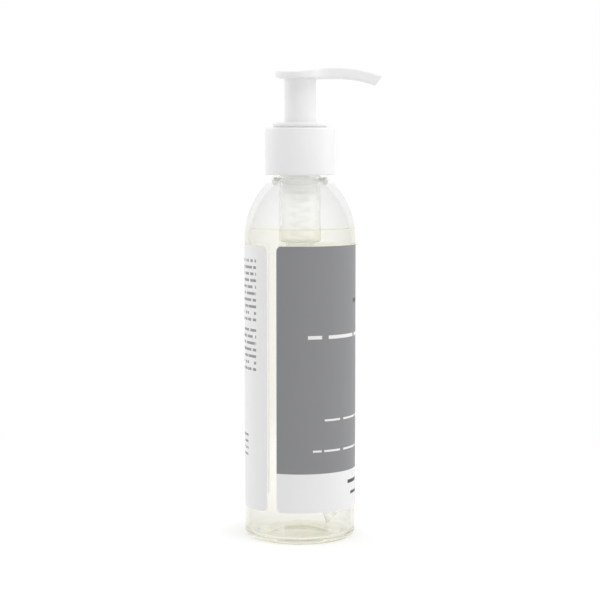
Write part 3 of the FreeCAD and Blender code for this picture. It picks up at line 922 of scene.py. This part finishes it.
@dataclass
class Closure(Assembly):
    """The screw collar, the lock ring and the gasket, in millimetres."""

    collar: float = 14.0
    collar_bore: float = 12.3
    collar_bottom: float = 146.16
    plate_bottom: float = 163.36
    collar_top: float = 164.96
    hole: float = 7.55
    bore_margin: float = 0.2
    ring: float = 11.0
    ring_seat: float = 165.06
    ring_top: float = 166.96
    ring_bevel: float = 0.6
    sleeve: float = 7.25
    sleeve_bore: float = 6.6
    sleeve_floor: float = 147.16
    sleeve_end: float = 145.96
    guide: float = 3.3
    gasket: float = 10.65
    gasket_bore: float = 8.3
    gasket_bottom: float = 161.26
    gasket_top: float = 162.26
    gasket_round: float = 0.25

    def build(self) -> None:
        """Builds the three pieces."""
        self.build_collar()
        self.build_ring()
        self.build_gasket()

    def build_collar(self) -> None:
        """Builds the collar, whose bore has a painted glow in place of light through its wall."""
        shape = Outline()
        shape.to(self.hole, self.plate_bottom, 0.2).to(self.collar_bore, self.plate_bottom, 0.8)
        shape.to(self.collar_bore, self.collar_bottom, 0.4).to(self.collar, self.collar_bottom, 0.45)
        shape.to(self.collar, self.collar_top, 0.9).to(self.hole, self.collar_top, 0.3)
        shell = self.shop.spin(shape, steps=192)
        # Faces inside the bore below the plate take the glowing lining: painted light.
        for face in shell.faces:
            middle = face.calc_center_median()
            inside = middle.xy.length < (self.collar_bore + self.bore_margin) * MM
            face.material_index = int(inside and middle.z < self.plate_bottom * MM)
        self.shop.piece(shell, "collar_shell", Body.COLLAR, "white_plastic", WHITE, ["screw_collar"],
                        lining=GLOWING_BORE)

    def build_ring(self) -> None:
        """Builds the lock ring with its sleeve and the guide of the stem."""
        shape = Outline()
        shape.to(self.sleeve_bore, self.sleeve_floor, 0.2).to(self.guide, self.sleeve_floor, 0.3)
        shape.to(self.guide, self.sleeve_end, 0.3).to(self.sleeve, self.sleeve_end, 0.3)
        shape.to(self.sleeve, self.ring_seat, 0.1).to(self.ring - self.ring_bevel, self.ring_seat, 0.1)
        shape.to(self.ring, self.ring_seat + self.ring_bevel, 0.3).to(self.ring, self.ring_top, 0.6)
        shape.to(self.sleeve_bore, self.ring_top, 0.45)
        ring = self.shop.spin(shape, steps=160)
        self.shop.piece(ring, "lock_ring_shell", Body.PUMP_UNIT, "white_plastic", WHITE, ["lock_ring"])

    def build_gasket(self) -> None:
        """Builds the gasket."""
        shape = Outline()
        for r, z in ((self.gasket_bore, self.gasket_bottom), (self.gasket, self.gasket_bottom),
                     (self.gasket, self.gasket_top), (self.gasket_bore, self.gasket_top)):
            shape.to(r, z, self.gasket_round)
        gasket = self.shop.spin(shape, steps=96)
        self.shop.piece(gasket, "gasket_ring", Body.PUMP_UNIT, "soft_foam", FOAM, ["neck_gasket"])


@dataclass
class PumpInside(Assembly):
    """The housing, dip tube, spring, valve and stem, in millimetres."""

    flange: float = 10.45
    flange_bottom: float = 162.26
    flange_top: float = 163.26
    housing: float = 8.25
    chamber: float = 7.35
    chamber_floor: float = 120.56
    housing_step: float = 119.46
    pocket: float = 4.7
    spring_seat: float = 108.56
    taper: float = 1.1
    ball_bore: float = 3.2
    inlet: float = 1.7
    inlet_top: float = 101.57
    socket_top: float = 100.07
    socket_bottom: float = 91.07
    socket_play: float = 0.02
    wall: float = 0.9
    tube: float = 2.4
    tube_bore: float = 1.7
    tube_offset: float = 12.8
    tube_end: float = 5.5
    tube_straight: float = 2.0
    tube_gap: float = 0.05
    cut_slope: float = 0.7
    cut_rise: float = 1.4
    spring: float = 3.95
    wire: float = 0.45
    spring_top: float = 137.66
    spring_gap: float = 0.05
    turns: float = 7.0
    turn_runs: int = 36
    stroke: float = 15.0
    rod_foot: float = 137.71
    rod_head: float = 4.85
    rod_head_height: float = 1.2
    rod_tip: float = 151.71
    shank: float = 1.5
    lips_foot: float = 139.26
    lips_head: float = 144.76
    piston: float = 7.3
    lip_wall: float = 0.8
    lip_waist: float = 0.5
    web_foot: float = 0.7
    web: float = 1.0
    hub_below: float = 0.3
    hub_short: float = 0.8
    stem: float = 3.0
    bore: float = 2.0
    stem_top: float = 183.1
    skirt: float = 4.2
    skirt_gap: float = 0.2
    skirt_top: float = 145.76
    skirt_roof: float = 0.8
    skirt_length: float = 3.8
    ball: float = 2.6
    ball_rise: float = 2.05

    def build(self) -> None:
        """Builds every inner piece."""
        self.build_housing()
        self.build_tube()
        self.build_spring()
        self.build_rod()
        self.build_piston()
        self.build_stem()
        self.build_ball()

    def build_housing(self) -> None:
        """Builds the stepped housing, down its bore and back up its outside."""
        middle = self.pocket + self.wall
        narrow = self.ball_bore + self.wall
        socket = self.tube + self.wall
        socket_bore = self.tube + self.socket_play
        ball_step = self.spring_seat - self.taper
        shape = Outline()
        shape.to(self.chamber, self.flange_top, 0.2).to(self.chamber, self.chamber_floor, 0.5)
        shape.to(self.pocket, self.chamber_floor, 0.3).to(self.pocket, self.spring_seat, 0.2)
        shape.to(self.ball_bore, self.spring_seat, 0.1)
        shape.to(self.ball_bore, self.inlet_top + self.ball_bore - self.inlet)
        shape.to(self.inlet, self.inlet_top).to(self.inlet, self.socket_top)
        shape.to(socket_bore, self.socket_top).to(socket_bore, self.socket_bottom, 0.1)
        shape.to(socket, self.socket_bottom, 0.3).to(socket, self.socket_top - (narrow - socket), 0.4)
        shape.to(narrow, self.socket_top, 0.4).to(narrow, ball_step, 0.4)
        shape.to(middle, ball_step + self.taper, 0.4)
        shape.to(middle, self.housing_step, 0.6).to(self.housing, self.housing_step, 1.1)
        shape.to(self.housing, self.flange_bottom, 0.2).to(self.flange, self.flange_bottom, 0.2)
        shape.to(self.flange, self.flange_top, 0.2)
        housing = self.shop.spin(shape, steps=128)
        self.shop.piece(housing, "housing_shell", Body.PUMP_UNIT, "natural_plastic", NATURAL,
                        ["pump_housing"])

    def build_tube(self) -> None:
        """Builds the dip tube: two rings drawn up to the socket and down round a bend to a slanted cut."""
        bm = bmesh.new()
        top = (self.socket_top - self.tube_gap) * MM
        bend_z = (self.socket_bottom - self.tube_straight) * MM
        drop = bend_z - self.tube_end * MM
        offset = self.tube_offset * MM
        radius = (drop ** 2 + offset ** 2) / (2 * offset)
        angle = math.asin(drop / radius)
        lower = Matrix.Translation((0, 0, bend_z))
        rings: list[bmesh.types.BMVert] = []
        for size in (self.tube, self.tube_bore):
            made = bmesh.ops.create_circle(bm, segments=40, radius=size * MM, matrix=lower)
            rings.extend(made["verts"])
        rims = list({edge for vert in rings for edge in vert.link_edges})
        rise = bmesh.ops.extrude_edge_only(bm, edges=rims)["geom"]
        bmesh.ops.translate(bm, verts=of_kind(rise, bmesh.types.BMVert), vec=(0, 0, top - bend_z))
        last = bmesh.ops.spin(bm, geom=rims, cent=(radius, 0, bend_z), axis=(0, -1, 0), angle=angle,
                              steps=40, use_merge=False, use_duplicate=False)["geom_last"]
        for vert in of_kind(last, bmesh.types.BMVert):
            vert.co.z += (vert.co.x - offset) * self.cut_slope + self.cut_rise * MM
        for end in (last, rise):
            bmesh.ops.bridge_loops(bm, edges=of_kind(end, bmesh.types.BMEdge))
        bmesh.ops.recalc_face_normals(bm, faces=bm.faces)
        self.shop.piece(bm, "dip_tube_wall", Body.PUMP_UNIT, "natural_plastic", TUBING, ["dip_tube"])

    def build_spring(self) -> None:
        """Builds the coil spring, with a close turn at each end, and gives it a mesh of its own."""
        bm = bmesh.new()
        base = self.spring_seat + self.wire + self.spring_gap
        tip = self.spring_top - self.wire - self.spring_gap
        start = Matrix.Translation((self.spring * MM, 0, base * MM)) @ Matrix.Rotation(math.pi / 2, 4, "X")
        ring = bmesh.ops.create_circle(bm, cap_ends=True, segments=12, radius=self.wire * MM,
                                       matrix=start)["verts"]
        ends: list[Any] = list({face for vert in ring for face in vert.link_faces})
        close = 2.0 * self.wire
        climb = (tip - base - 2.0 * close) / self.turns
        joins: list[bmesh.types.BMFace] = []
        for turns, pitch in ((1.0, close), (self.turns, climb), (1.0, close)):
            steps = int(self.turn_runs * turns)
            step_up = (0, 0, pitch * turns * MM / steps)
            made = bmesh.ops.spin(bm, geom=ends, cent=(0, 0, 0), axis=(0, 0, 1), dvec=step_up,
                                  angle=FULL_TURN * turns, steps=steps, use_merge=False, use_duplicate=False)
            ends = of_kind(made["geom_last"], bmesh.types.BMFace)
            joins.extend(ends)
        bmesh.ops.delete(bm, geom=joins[:-1], context="FACES_ONLY")
        bmesh.ops.recalc_face_normals(bm, faces=bm.faces)
        piece = self.shop.piece(bm, "spring_coil", Body.PUMP_UNIT, "spring_steel", WIRE, ["return_spring"],
                                crease=60.0)
        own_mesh(piece)

    def build_rod(self) -> None:
        """Builds the valve rod."""
        seat = self.rod_foot + self.rod_head_height
        shape = Outline()
        shape.to(0.0, self.rod_foot).to(self.rod_head, self.rod_foot, 0.3).to(self.rod_head, seat, 0.3)
        shape.to(self.shank, seat, 0.3).to(self.shank, self.rod_tip, 0.6).to(0.0, self.rod_tip)
        rod = self.shop.spin(shape, steps=64)
        self.shop.piece(rod, "valve_rod_turned", Body.PLUNGER, "white_plastic", WHITE, ["valve_rod"])

    def build_piston(self) -> None:
        """Builds the piston seal: a hub and two lips on a web."""
        foot, head = self.lips_foot, self.lips_head
        rim = self.piston - self.lip_wall
        web = foot + self.web_foot
        hub_foot, hub_head = foot - self.hub_below, head - self.hub_short
        shape = Outline()
        shape.to(self.bore, hub_foot, 0.1).to(self.stem, hub_foot, 0.2)
        shape.to(self.stem, web, 0.2).to(rim, web, 0.2)
        shape.to(rim, foot, 0.1).to(self.piston, foot, 0.15)
        shape.to(self.piston - self.lip_waist, (foot + head) / 2, 2.0)
        shape.to(self.piston, head, 0.15).to(rim, head, 0.1)
        shape.to(rim, web + self.web, 0.3).to(self.stem, web + self.web, 0.3)
        shape.to(self.stem, hub_head, 0.2).to(self.bore, hub_head, 0.1)
        cup = self.shop.spin(shape, steps=96)
        # The seal's grey paints the shade of the band under the collar.
        self.shop.piece(cup, "piston_cup", Body.PISTON, "seal_plastic", SHADED_SEAL, ["piston_seal"])

    def build_stem(self) -> None:
        """Builds the stem with the skirt that holds the seal."""
        skirt_end = self.skirt_top - self.skirt_length
        skirt_bore, roof = self.stem + self.skirt_gap, self.skirt_top - self.skirt_roof
        shape = Outline()
        for r, z in ((self.bore, self.stem_top), (self.stem, self.stem_top), (self.stem, self.skirt_top),
                     (self.skirt, self.skirt_top), (self.skirt, skirt_end), (skirt_bore, skirt_end)):
            shape.to(r, z, 0.2)
        shape.to(skirt_bore, roof, 0.1).to(self.bore, roof, 0.1)
        stem = self.shop.spin(shape, steps=72)
        self.shop.piece(stem, "stem_tube", Body.ACTUATOR, "white_plastic", WHITE, ["pump_stem"])

    def build_ball(self) -> None:
        """Builds the inlet ball on its seat."""
        bm = bmesh.new()
        place = Matrix.Translation((0, 0, (self.inlet_top + self.ball_rise) * MM))
        bmesh.ops.create_icosphere(bm, subdivisions=4, radius=self.ball * MM, matrix=place)
        self.shop.piece(bm, "inlet_ball_glass", Body.INLET_VALVE, "ball_glass", BALL, ["inlet_ball"])


@dataclass
class Head(Assembly):
    """The pump head, which keeps its solid's own mesh."""

    node: str = "actuator_head"

    def build(self) -> None:
        """Dresses the head."""
        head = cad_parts[self.node]
        head.data.materials.clear()
        head.data.materials.append(self.shop.finish(WHITE))
        self.shop.made.append(head)


@dataclass(frozen=True)
class Lamp:
    """One soft panel that faces the bottle, in metres and watts."""

    name: str
    place: Triple
    power: float
    size: float
    aim: float = 0.1

    def build(self) -> None:
        """Builds the lamp, which clear and glossy pieces don't show."""
        data = bpy.data.lights.new(self.name, "AREA")
        data.shape = "DISK"
        data.size = self.size
        data.energy = self.power
        lamp = bpy.data.objects.new(self.name, data)
        lamp.location = self.place
        lamp.rotation_euler = (Vector((0, 0, self.aim)) - lamp.location).to_track_quat("-Z", "Y").to_euler()
        lamp.visible_camera = False
        lamp.visible_glossy = False
        lamp.visible_transmission = False
        bpy.context.scene.collection.objects.link(lamp)


@dataclass
class Studio:
    """The floor, the light and the camera, in metres, millimetres of lens and degrees of tilt."""

    distance: float = 0.721
    height: float = 0.156
    focal: float = 107.65
    sensor: float = 36.0
    tilt: float = 4.775
    clearing: float = 0.30
    floor_size: float = 6.0
    floor_colour: Colour = (0.86, 0.86, 0.86)
    floor_roughness: float = 0.9
    floor_lift: float = 0.19
    surround: float = 0.60
    lamps: tuple[Lamp, ...] = (
        Lamp("right_panel", (0.75, 0.10, 0.38), power=2.4, size=0.8),
        Lamp("left_panel", (-0.72, 0.45, 0.38), power=3.5, size=0.8),
        Lamp("top_panel", (0.05, -0.30, 0.90), power=2.0, size=0.6),
        Lamp("front_fill", (0.30, -0.85, 0.20), power=0.8, size=0.6),
    )

    def build(self) -> None:
        """Builds the whole studio."""
        self.build_floor()
        self.build_world()
        for lamp in self.lamps:
            lamp.build()
        self.build_camera()

    @staticmethod
    def seen(graph: Graph) -> Value:
        """One for the rays that show the background, and zero for those that light the object."""
        return graph.rays("Is Camera Ray", "Is Glossy Ray", "Is Transmission Ray")

    def build_floor(self) -> None:
        """Builds a wide white floor that keeps the shadow."""
        bm = bmesh.new()
        bmesh.ops.create_grid(bm, x_segments=8, y_segments=8, size=self.floor_size)
        mesh = bpy.data.meshes.new("floor")
        bm.to_mesh(mesh)
        bm.free()
        floor = bpy.data.objects.new("floor", mesh)
        bpy.context.scene.collection.objects.link(floor)
        graph = new_material("white_floor")
        x, y, _ = graph.axes()
        apart = (x * x + y * y) * (1.0 / self.clearing ** 2)
        seen = self.seen(graph)
        near = graph.node("ShaderNodeBsdfPrincipled", {}, {
            "Base Color": opaque(self.floor_colour), "Roughness": self.floor_roughness,
            "Specular IOR Level": 0.0, "Emission Color": WHITE_LIGHT,
            "Emission Strength": seen * self.floor_lift,
        })
        plain = graph.node("ShaderNodeEmission", {}, {"Color": WHITE_LIGHT, "Strength": 1.0})
        far = seen * (2.0 * apart - 1.0).clamp()
        both = graph.node("ShaderNodeMixShader", {}, {0: far, 1: near, 2: plain})
        mesh.materials.append(graph.close(both))

    def build_world(self) -> None:
        """Builds a surround that shows white and lights gently."""
        graph = Graph(bpy.data.worlds.new("white_surround"))
        strength = self.surround + (1.0 - self.surround) * self.seen(graph)
        light = graph.node("ShaderNodeBackground", {}, {"Color": WHITE_LIGHT, "Strength": strength})
        bpy.context.scene.world = graph.close(light)

    def build_camera(self) -> None:
        """Builds the camera at the photograph's place."""
        data = bpy.data.cameras.new("camera")
        data.lens = self.focal
        data.sensor_width = self.sensor
        camera = bpy.data.objects.new("camera", data)
        camera.location = (0.0, -self.distance, self.height)
        camera.rotation_euler = (math.radians(90.0 - self.tilt), 0.0, 0.0)
        bpy.context.scene.collection.objects.link(camera)
        bpy.context.scene.camera = camera


def main() -> None:
    """Builds the bottle and its pump and the studio, and logs the face count of each piece."""
    logging.basicConfig(level=logging.INFO, format="%(message)s")
    bpy.context.scene.view_settings.view_transform = "Standard"
    shop = Workshop()
    for kind in (Bottle, Labels, Closure, PumpInside, Head):
        kind(shop).build()
    for piece in shop.made:
        LOG.info("%s: %d faces", piece.name, len(piece.data.polygons))
    Studio().build()


if __name__ == "__main__":
    main()
